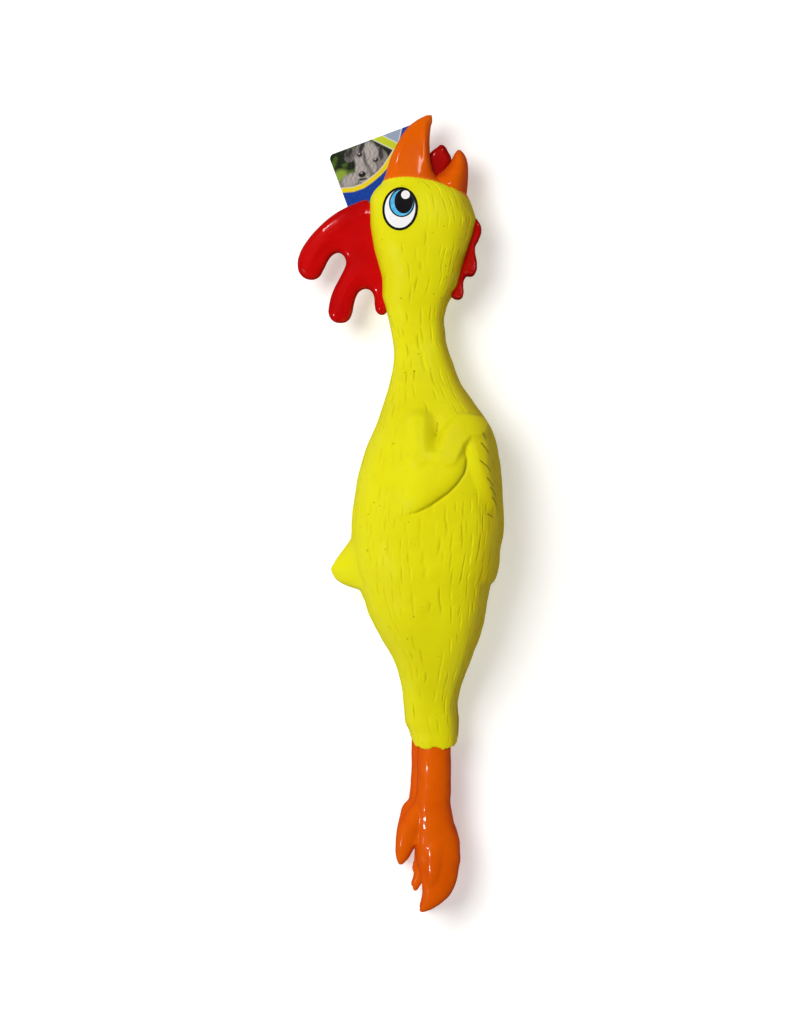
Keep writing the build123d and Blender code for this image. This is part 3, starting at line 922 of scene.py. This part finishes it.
def reshape(piece, change):
    """Moves the piece's points: change takes and returns their places in millimetres."""
    mesh = piece.data
    moved = change(read_vectors(mesh.vertices, "co") / MM) * MM
    mesh.vertices.foreach_set("co", moved.ravel())
    mesh.update()


def roughen(piece, shortest, longest, share):
    """Makes a finished form's surface a little uneven."""
    normals = read_vectors(piece.data.vertex_normals, "vector")
    reshape(piece, lambda places: places + normals * share * undulation(places, shortest, longest)[:, None])


TONGUE = (
    (14, 196), (15.5, 205), (18.2, 208.8), (21.4, 211.2), (23.9, 212.8), (26.1, 211.6), (27.7, 208.9),
    (29.6, 204.9), (28.8, 200.5), (26.5, 196.5), (23, 191), (17, 189),
)


def make_tongue():
    plate = slab("mouth_tongue", TONGUE, half_thickness=5.6, rim=3.6)
    piece = remeshed(plate, voxel_mm=0.5, smoothing=4)
    finish_piece(piece, deep_red, "dark_red_paint", "head", "tongue")


# ---------------------------------------------------------------- comb and wattles

COMB = (
    (-17, 179.4), (-19.4, 180.9), (-24.5, 179.5), (-30.6, 176.9), (-38.7, 172.2), (-46.8, 165.3),
    (-53.8, 157.2), (-57.8, 150.3), (-59.2, 143.3), (-57.6, 138), (-52.5, 134.9), (-47.4, 135.9),
    (-44.2, 140.5), (-41.6, 145.7), (-39.3, 148.7), (-35.6, 150.4), (-32.6, 148.7), (-31.2, 144.5),
    (-32.3, 141), (-34.9, 135.8), (-38.7, 128.3), (-41, 120.2), (-41.2, 115), (-39, 111.2),
    (-34.3, 109.8), (-30, 111.2), (-27.8, 115), (-26.7, 120.2), (-25.4, 124.8), (-23.5, 127.9),
    (-20.3, 129.5), (-17, 128.6), (-15.1, 125.2), (-14.6, 120), (-13.8, 116.6), (-11, 114.5),
    (-8.2, 115.4), (-6.5, 119), (-2, 128), (-3, 140), (-6, 155), (-8, 170), (-11.5, 178.5),
)


COMB_RIDGE = ((-18, 174.5), (-30, 170.5), (-43, 161), (-51, 150))


def make_comb():
    plate = remeshed(slab("comb_red", COMB, half_thickness=5.4, rim=4.2), voxel_mm=0.6, smoothing=6)

    def puff(places):
        x, y, z = places.T
        rise = smoothstep(3.0, 9.0, outline_depth(x, y, COMB))
        rise += 0.8 * bell(line_distance(x, y, COMB_RIDGE), 4.0)
        above = z - HEAD_HEIGHT
        places[:, 2] += np.sign(above) * np.clip(np.abs(above) / 5.0, 0.0, 1.0) * rise
        return places

    reshape(plate, puff)
    finish_piece(plate, red, "red_paint", "head", "comb")


WATTLE = (
    (42.5, 170.6), (45.6, 167.4), (46.9, 162.8), (45.9, 158.4), (43.6, 154.2), (43.3, 150.3), (44.4, 143.3),
    (44, 139.7), (41.9, 137.3), (38.4, 137), (36.9, 134.6), (36.5, 130.4), (36.8, 126.6), (35.6, 124.1),
    (33, 123.4), (30.2, 124.6), (27, 129), (27.5, 140), (31.5, 153), (37, 166),
)
WATTLE_SHIFT = 3.5


def make_wattles():
    for side, node in ((1.0, "wattle_right"), (-1.0, "wattle_left")):
        height = HEAD_HEIGHT + side * WATTLE_SHIFT
        plate = slab("paint_" + node, WATTLE, half_thickness=2.6, rim=2.2, middle_height=height)
        plate = remeshed(plate, voxel_mm=0.5, smoothing=4)

        def splay(places, side=side):
            x, y, _ = places.T
            outer = smoothstep(33.0, 47.0, x - 0.2 * (y - 150.0))
            places[:, 2] += side * outer * (4.5 + 0.7 * np.sin(0.42 * y))
            return places

        reshape(plate, splay)
        roughen(plate, shortest=6.0, longest=14.0, share=0.5)
        finish_piece(plate, deep_red, "dark_red_paint", "head", node)


# ---------------------------------------------------------------- eyes

EYE_SIZE = (10.2, 12.6)
EYE_LEAN = math.radians(-4.0)
# How far out the print's rings lie, as a share of its size, and how far they stand proud of the head.
EYE_EDGE = ((0.975, 0.34), (0.988, 0.30), (0.996, 0.2), (1.0, 0.05), (1.0, -0.4))
EYE_RINGS, EYE_COLUMNS, EYE_PROUD = 70, 180, 0.35
# The printed ellipses: centre, half width and height, and lean.
EYE_PRINTS = {
    "white": (EYE_CENTRE, (8.7, 11.1), EYE_LEAN),
    "iris_line": ((1.1, 177.5), (7.3, 8.3), 0.0),
    "iris": ((1.1, 177.5), (6.5, 7.5), 0.0),
    "pupil": ((2.2, 178.3), (5.3, 7.0), 0.0),
    "shine": ((3.2, 182.1), (2.5, 2.5), 0.0),
}


def ellipse_distance(x, y, centre, half, lean=0.0):
    """Signed distance to an ellipse, close to exact near its edge, negative inside."""
    dx, dy = x - centre[0], y - centre[1]
    u = dx * math.cos(lean) + dy * math.sin(lean)
    v = dy * math.cos(lean) - dx * math.sin(lean)
    size = np.hypot(u / half[0], v / half[1])
    slope = np.hypot(u / half[0] ** 2, v / half[1] ** 2)
    return size * (size - 1.0) / np.maximum(slope, 1e-6)


def head_surface(x, y):
    """Height of the head's plain form over (x, y), on its right side."""
    middle, depth, centre, thickness = skin_form(y)
    power = squareness(y)
    share = np.clip(1.0 - np.abs((x - middle) / depth) ** power, 0.0, 1.0)
    return centre + thickness * share ** (1.0 / power)


def make_eyes():
    inner = [(share, EYE_PROUD) for share in np.linspace(0.02, 0.96, EYE_RINGS)]
    share, proud = np.array(inner + list(EYE_EDGE)).T[:, :, None]
    angle = full_turn(EYE_COLUMNS)[None, :]
    u, v = share * EYE_SIZE[0] * np.cos(angle), share * EYE_SIZE[1] * np.sin(angle)
    x = EYE_CENTRE[0] + u * math.cos(EYE_LEAN) - v * math.sin(EYE_LEAN)
    y = EYE_CENTRE[1] + u * math.sin(EYE_LEAN) + v * math.cos(EYE_LEAN)
    step = 0.2
    slope_x = (head_surface(x + step, y) - head_surface(x - step, y)) / (2 * step)
    slope_y = (head_surface(x, y + step) - head_surface(x, y - step)) / (2 * step)
    normal = np.stack([-slope_x, -slope_y, np.ones_like(x)], -1)
    normal /= np.linalg.norm(normal, axis=-1, keepdims=True)
    grid = np.stack([x, y, head_surface(x, y)], -1) + normal * proud[..., None]
    quads, fans = closed_faces(len(grid), EYE_COLUMNS)
    faces = quads.tolist() + fans[:EYE_COLUMNS].tolist()
    values = {}
    for label, shape in EYE_PRINTS.items():
        distance = ellipse_distance(x, y, *shape)
        values[label] = np.append(distance, distance[0].mean())
    for side, node in ((1.0, "eye_right"), (-1.0, "eye_left")):
        points = tube_points(grid)[:-1]
        points[:, 2] = HEAD_HEIGHT + side * (points[:, 2] - HEAD_HEIGHT)
        turned = faces if side > 0 else [face[::-1] for face in faces]
        piece = make_mesh("print_" + node, points, turned, **values)
        finish_piece(piece, eye_print, "eye_print", "head", node)


# ---------------------------------------------------------------- legs and feet

# Each run is a list of (x, y, height above the leg's middle, half width, half thickness).
LEG_RUNS = {
    "shank": (
        (19.7, -131, 0, 9.6, 8), (19.7, -145, 0, 9.8, 8.3), (19.6, -158, 0, 9.9, 8.3),
        (18.9, -167, 0, 10.4, 8.5), (19.5, -175.5, 0, 10.9, 8.5), (20.6, -184, 0, 11.9, 8.2),
        (21.9, -192, 0, 12.8, 7.6), (22.3, -199, 0, 12.8, 6.9), (22.6, -207, 0, 11.2, 6.2),
        (21.6, -214.5, 0, 9.9, 5.5), (19.6, -220, 0, 7.6, 4.8), (16.8, -224.6, 0, 4.8, 3.8),
        (13.6, -228.2, 0, 2.6, 2.2), (11.6, -229.9, 0, 1, 1),
    ),
    "hind_toe": (
        (14.5, -168, 0, 5.6, 5), (9.8, -176, 0, 7.2, 5.6), (5.8, -183.5, 0, 7.4, 5.4),
        (3.2, -190.5, 0, 5.9, 4.8), (1.7, -196.5, 0, 4.5, 3.8), (0.7, -200.6, 0, 2.7, 2.4),
        (0.3, -203, 0, 1, 1),
    ),
    "web": ((8, -184, 0, 5.6, 4.6), (9.4, -191.5, 0, 4.4, 3.8)),
    "outer_toe": (
        (22, -186, 3.2, 8, 4.8), (20.5, -196, 3.8, 6.4, 4.2), (19.8, -205, 3.9, 5, 3.6),
        (18.4, -212, 3.4, 3.6, 3), (16.4, -217.4, 2.4, 1.6, 1.6),
    ),
    "inner_toe": (
        (14, -188, -2.6, 5, 4), (12.2, -198, -3.4, 3.8, 3.6), (11.2, -206, -3.8, 3.2, 3.2),
        (10.2, -213, -4, 2.6, 2.6), (8.4, -218.6, -4, 1.3, 1.3),
    ),
    "inner_claw": (
        (11, -200.5, -3.4, 2.2, 2.2), (8.9, -204.4, -3.6, 1.6, 1.6), (7.4, -207.4, -3.6, 0.7, 0.7),
    ),
    "middle_claw": (
        (11, -208.5, -3.4, 2.2, 2.2), (8.8, -212.4, -3.6, 1.5, 1.5), (6.8, -215.4, -3.6, 0.7, 0.7),
    ),
}
LEG_MIDDLE = {"right": 28.2, "left": 9.2}
LEFT_SHANK_SHIFT = 3.4  # towards the back, above the foot


def sweep(run):
    """Points and faces of one closed tube along a run, with elliptical sections square to it."""
    run = np.array(run)
    length = np.append(0.0, np.cumsum(np.linalg.norm(np.diff(run[:, :3], axis=0), axis=1)))
    at = np.linspace(0.0, length[-1], max(int(length[-1] / 0.8), 6))
    x, y, z, wide, thick = [smooth_curve(length, run[:, k], at)[:, None] for k in range(5)]
    heading = np.stack([np.gradient(x[:, 0]), np.gradient(y[:, 0])], -1)
    heading /= np.linalg.norm(heading, axis=1, keepdims=True)
    angle = full_turn(28)
    across = wide * np.cos(angle)
    return closed_tube(x - heading[:, 1:] * across, y + heading[:, :1] * across, z - thick * np.sin(angle))


def make_legs():
    for side, middle in LEG_MIDDLE.items():
        points, faces = np.empty((0, 3)), []
        for run in LEG_RUNS.values():
            run_points, run_faces = sweep(run)
            faces += [[len(points) + index for index in face] for face in run_faces]
            points = np.concatenate([points, run_points])
        if side == "left":
            points[:, 2] *= -1.0
            points[:, 0] -= LEFT_SHANK_SHIFT * smoothstep(-184.0, -168.0, points[:, 1])
        points[:, 2] += middle
        piece = remeshed(make_mesh("rubber_leg_" + side, points, faces), voxel_mm=0.65, smoothing=5)
        roughen(piece, shortest=6.0, longest=16.0, share=0.4)
        swing = ("hips", "leg_" + side, mm_point(19.6, -134.0, middle), mm_point(19.6, -149.0, middle))
        finish_piece(piece, orange, "orange_paint", swing, "leg_" + side, f"leg_{side}_bend", edge=(0.3, 1.0))


# ---------------------------------------------------------------- the swing tag

TAG_CORNER = (-41.8, 209.0)
TAG_SIZE = (55.0, 80.0)
TAG_TILT = math.radians(20.5)
TAG_CORNER_RADIUS = 3.0
TAG_TOP, TAG_UNDERSIDE = 1.6, 1.1
TAG_GRID = 0.35


def make_tag():
    edges = [np.linspace(0.0, size, round(size / TAG_GRID) + 1) for size in TAG_SIZE]
    u, v = rounded_corners(*np.meshgrid(*edges))
    x = TAG_CORNER[0] + u * math.cos(TAG_TILT) + v * math.sin(TAG_TILT)
    y = TAG_CORNER[1] + u * math.sin(TAG_TILT) - v * math.cos(TAG_TILT)
    top, under = [np.stack([x, y, np.full_like(x, z)], -1).reshape(-1, 3) for z in (TAG_TOP, TAG_UNDERSIDE)]
    index = np.arange(x.size).reshape(x.shape)
    quads = np.stack([index[1:, :-1], index[1:, 1:], index[:-1, 1:], index[:-1, :-1]], -1).reshape(-1, 4)
    below = quads[:, ::-1] + x.size
    border = np.concatenate([index[0, :-1], index[:-1, -1], index[-1, :0:-1], index[:0:-1, 0]])
    following = np.roll(border, -1)
    wall = np.stack([border, following, following + x.size, border + x.size], -1)
    faces = np.concatenate([quads, below, wall]).tolist()
    piece = make_mesh("swing_tag", np.concatenate([top, under]), faces, smooth=False)
    back = np.full((x.size, 3), 0.86)
    shades = np.concatenate([tag_print(x, y).reshape(-1, 3), back])
    store(piece, "print", np.hstack([shades, np.ones((len(shades), 1))]), "FLOAT_COLOR", "color")
    finish_piece(piece, tag_card, "tag_card", "tag", "hang_tag")


def rounded_corners(u, v):
    """Draws the grid's corners in to a rounded outline."""
    half = np.array(TAG_SIZE)[:, None, None] / 2
    place = np.stack([u, v]) - half
    over = np.maximum(np.abs(place) - (half - TAG_CORNER_RADIUS), 0.0)
    shrink = np.where(over.any(axis=0), over.max(axis=0) / np.maximum(np.hypot(*over), 1e-9), 1.0)
    return place - np.sign(place) * over * (1.0 - shrink) + half


def paint(canvas, mask, colour):
    canvas += mask[..., None] * (np.asarray(colour) - canvas)


def edge_mask(distance, soft=0.25):
    """One inside a shape, where the signed distance is negative, and zero outside."""
    return 1.0 - smoothstep(-soft, soft, distance)


def fur(x, y, scale, seed, spread=math.pi):
    """Uneven patches from layered waves, from 0 to 1; a small spread makes them upright streaks."""
    steps = np.random.default_rng(seed)
    total = np.zeros_like(x)
    for _ in range(22):
        direction = steps.uniform(-spread, spread)
        length = scale * steps.uniform(0.5, 2.2)
        phase = steps.uniform(0.0, 2 * math.pi)
        total += np.sin((x * math.cos(direction) + y * math.sin(direction)) * 2 * math.pi / length + phase)
    return np.clip(0.5 + total / 9.0, 0.0, 1.0)


TAG_BLUE = (0.003, 0.052, 0.40)
TAG_YELLOW = (0.90, 0.72, 0.01)
TAG_LIME = (0.55, 0.68, 0.02)
TAG_SKY = (0.30, 0.40, 0.55)
TAG_PAPER = (0.84, 0.86, 0.80)
TAG_ARC = (
    (-42, 191.4), (-34.7, 190.2), (-27.6, 190.8), (-22.4, 192.6), (-17.9, 195.7), (-13.3, 199.6),
    (-10.1, 203.1), (-7.5, 207.1), (-4.2, 212.3),
)
TAG_BAND = ((-15.9, 218.1), (-4.2, 212.3))
TAG_BAND_WIDTH = 4.6


def tag_print(x, y):
    """The card's print: blue, with a dog's portrait in its upper corner, bounded by a yellow arc."""
    canvas = np.full(x.shape + (3,), TAG_BLUE)
    arc = line_distance(x, y, TAG_ARC)
    above = np.where(y > table(TAG_ARC, x), -arc, arc)
    paint(canvas, edge_mask(above - 3.0), TAG_YELLOW)
    paint(canvas, edge_mask(above - 0.4), (0.85, 0.85, 0.85))
    paint(canvas, edge_mask(above), dog_picture(x, y))
    (ax, ay), (bx, by) = TAG_BAND
    over = ((x - ax) * (ay - by) + (y - ay) * (bx - ax)) / math.hypot(bx - ax, by - ay)
    for start, colour in (
        (0.0, TAG_PAPER), (0.45, TAG_LIME), (TAG_BAND_WIDTH, TAG_PAPER), (TAG_BAND_WIDTH + 0.45, TAG_SKY),
    ):
        paint(canvas, edge_mask(start - over), colour)
    corner = x - 0.4 - 0.24 * (y - 221.5)
    paint(canvas, edge_mask(-corner - 0.5) * edge_mask(above), TAG_PAPER)
    paint(canvas, edge_mask(-corner) * edge_mask(above), TAG_BLUE)
    return np.clip(canvas, 0.0, 1.0)


def dog_picture(x, y):
    """A made-up grey dog with folded ears in front of dark leaves."""
    picture = np.full(x.shape + (3,), (0.008, 0.014, 0.004))
    paint(picture, smoothstep(0.5, 0.9, fur(x, y, 9.0, 3)), (0.06, 0.12, 0.008))

    def blob(centre, size, lean, soft, colour):
        paint(picture, edge_mask(ellipse_distance(x, y, centre, size, lean), soft), colour)

    blob((-35.5, 196.5), (3.6, 5.0), -0.9, 1.6, (0.26, 0.40, 0.04))
    streaks = fur(x, y, 1.3, 5, spread=0.8)[..., None]
    light, middle, dark = 0.30 + 0.20 * streaks, 0.13 + 0.16 * streaks, 0.015 + 0.04 * streaks
    warm = np.array((1.04, 1.0, 0.97))
    for centre, size, lean, shade, soft in (
        ((-27.5, 193.0), (9.5, 5.6), 0.45, middle, 0.8),
        ((-29.0, 194.5), (5.0, 3.4), 0.6, light, 1.6),
        ((-24.6, 190.5), (4.0, 1.2), 0.3, dark, 0.8),
        ((-28.9, 209.4), (3.4, 4.8), -0.55, middle * 0.6, 0.4),
        ((-29.9, 210.4), (1.6, 3.0), -0.55, dark, 0.9),
        ((-13.2, 207.6), (6.0, 6.6), 0.5, middle, 0.5),
        ((-19.4, 208.4), (7.2, 9.4), 0.12, middle, 0.5),
        ((-17.8, 211.5), (4.4, 5.4), 0.5, light, 1.8),
        ((-22.4, 214.0), (1.5, 3.4), -0.35, dark, 0.7),
        ((-11.2, 211.0), (1.3, 4.4), 0.05, dark, 0.7),
        ((-21.2, 200.6), (5.0, 7.6), 0.06, light, 0.6),
        ((-24.6, 205.4), (1.6, 3.2), 0.5, light, 1.0),
        ((-16.6, 203.0), (2.2, 4.6), 0.55, light, 1.2),
        ((-17.6, 200.0), (1.5, 4.6), 0.35, middle, 0.9),
        ((-20.6, 207.0), (0.9, 4.6), 0.2, middle * 0.5, 0.8),
        ((-21.8, 195.2), (2.6, 0.7), 0.15, dark, 0.5),
    ):
        blob(centre, size, lean, soft, shade * warm)
    # Each eye and the nose, and the glint on it.
    for centre, size, glint in (
        ((-23.6, 209.6), (1.6, 1.2), (-23.9, 210.0)),
        ((-14.2, 206.4), (1.5, 1.1), (-14.5, 206.8)),
        ((-22.1, 198.0), (2.2, 1.7), (-22.5, 198.8)),
    ):
        blob(centre, size, 0.3, 0.4, (0.01, 0.008, 0.008))
        blob(glint, (0.45, 0.35), 0.0, 0.25, (0.7, 0.7, 0.7))
    return picture


# ---------------------------------------------------------------- the squeaker and the tag's fastener


def finish_cad_nodes():
    """Gives the CAD nodes that keep their shape their final materials."""
    plastic = moulded_plastic("squeaker_plastic", (0.80, 0.80, 0.78), 0.35)
    materials = {"reed": brushed_brass()}
    for node in ("squeaker_cup", "reed_tube", "squeaker_cap", "tag_pin"):
        materials[node] = plastic
    for node, material in materials.items():
        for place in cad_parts[node].material_slots:
            place.material = material


# ---------------------------------------------------------------- the scene

# The third colour of each paint is painted shade for its sides.
orange = gloss_paint("orange_paint", ORANGE, ORANGE_DEEP, ORANGE_EDGE_SHADE, 0.34)
red = gloss_paint("red_paint", (0.60, 0.003, 0.003), (0.50, 0.002, 0.003), (0.42, 0.002, 0.002), 0.28)
deep_red = gloss_paint("dark_red_paint", (0.40, 0.003, 0.002), (0.33, 0.002, 0.002), (0.26, 0.001, 0.001), 0.28)
eye_print = printed_eye()
tag_card = printed_card()

make_camera()
make_lights()
make_floor()
make_skin()
make_lower_beak()
make_tongue()
make_comb()
make_wattles()
make_eyes()
make_legs()
make_tag()
finish_cad_nodes()
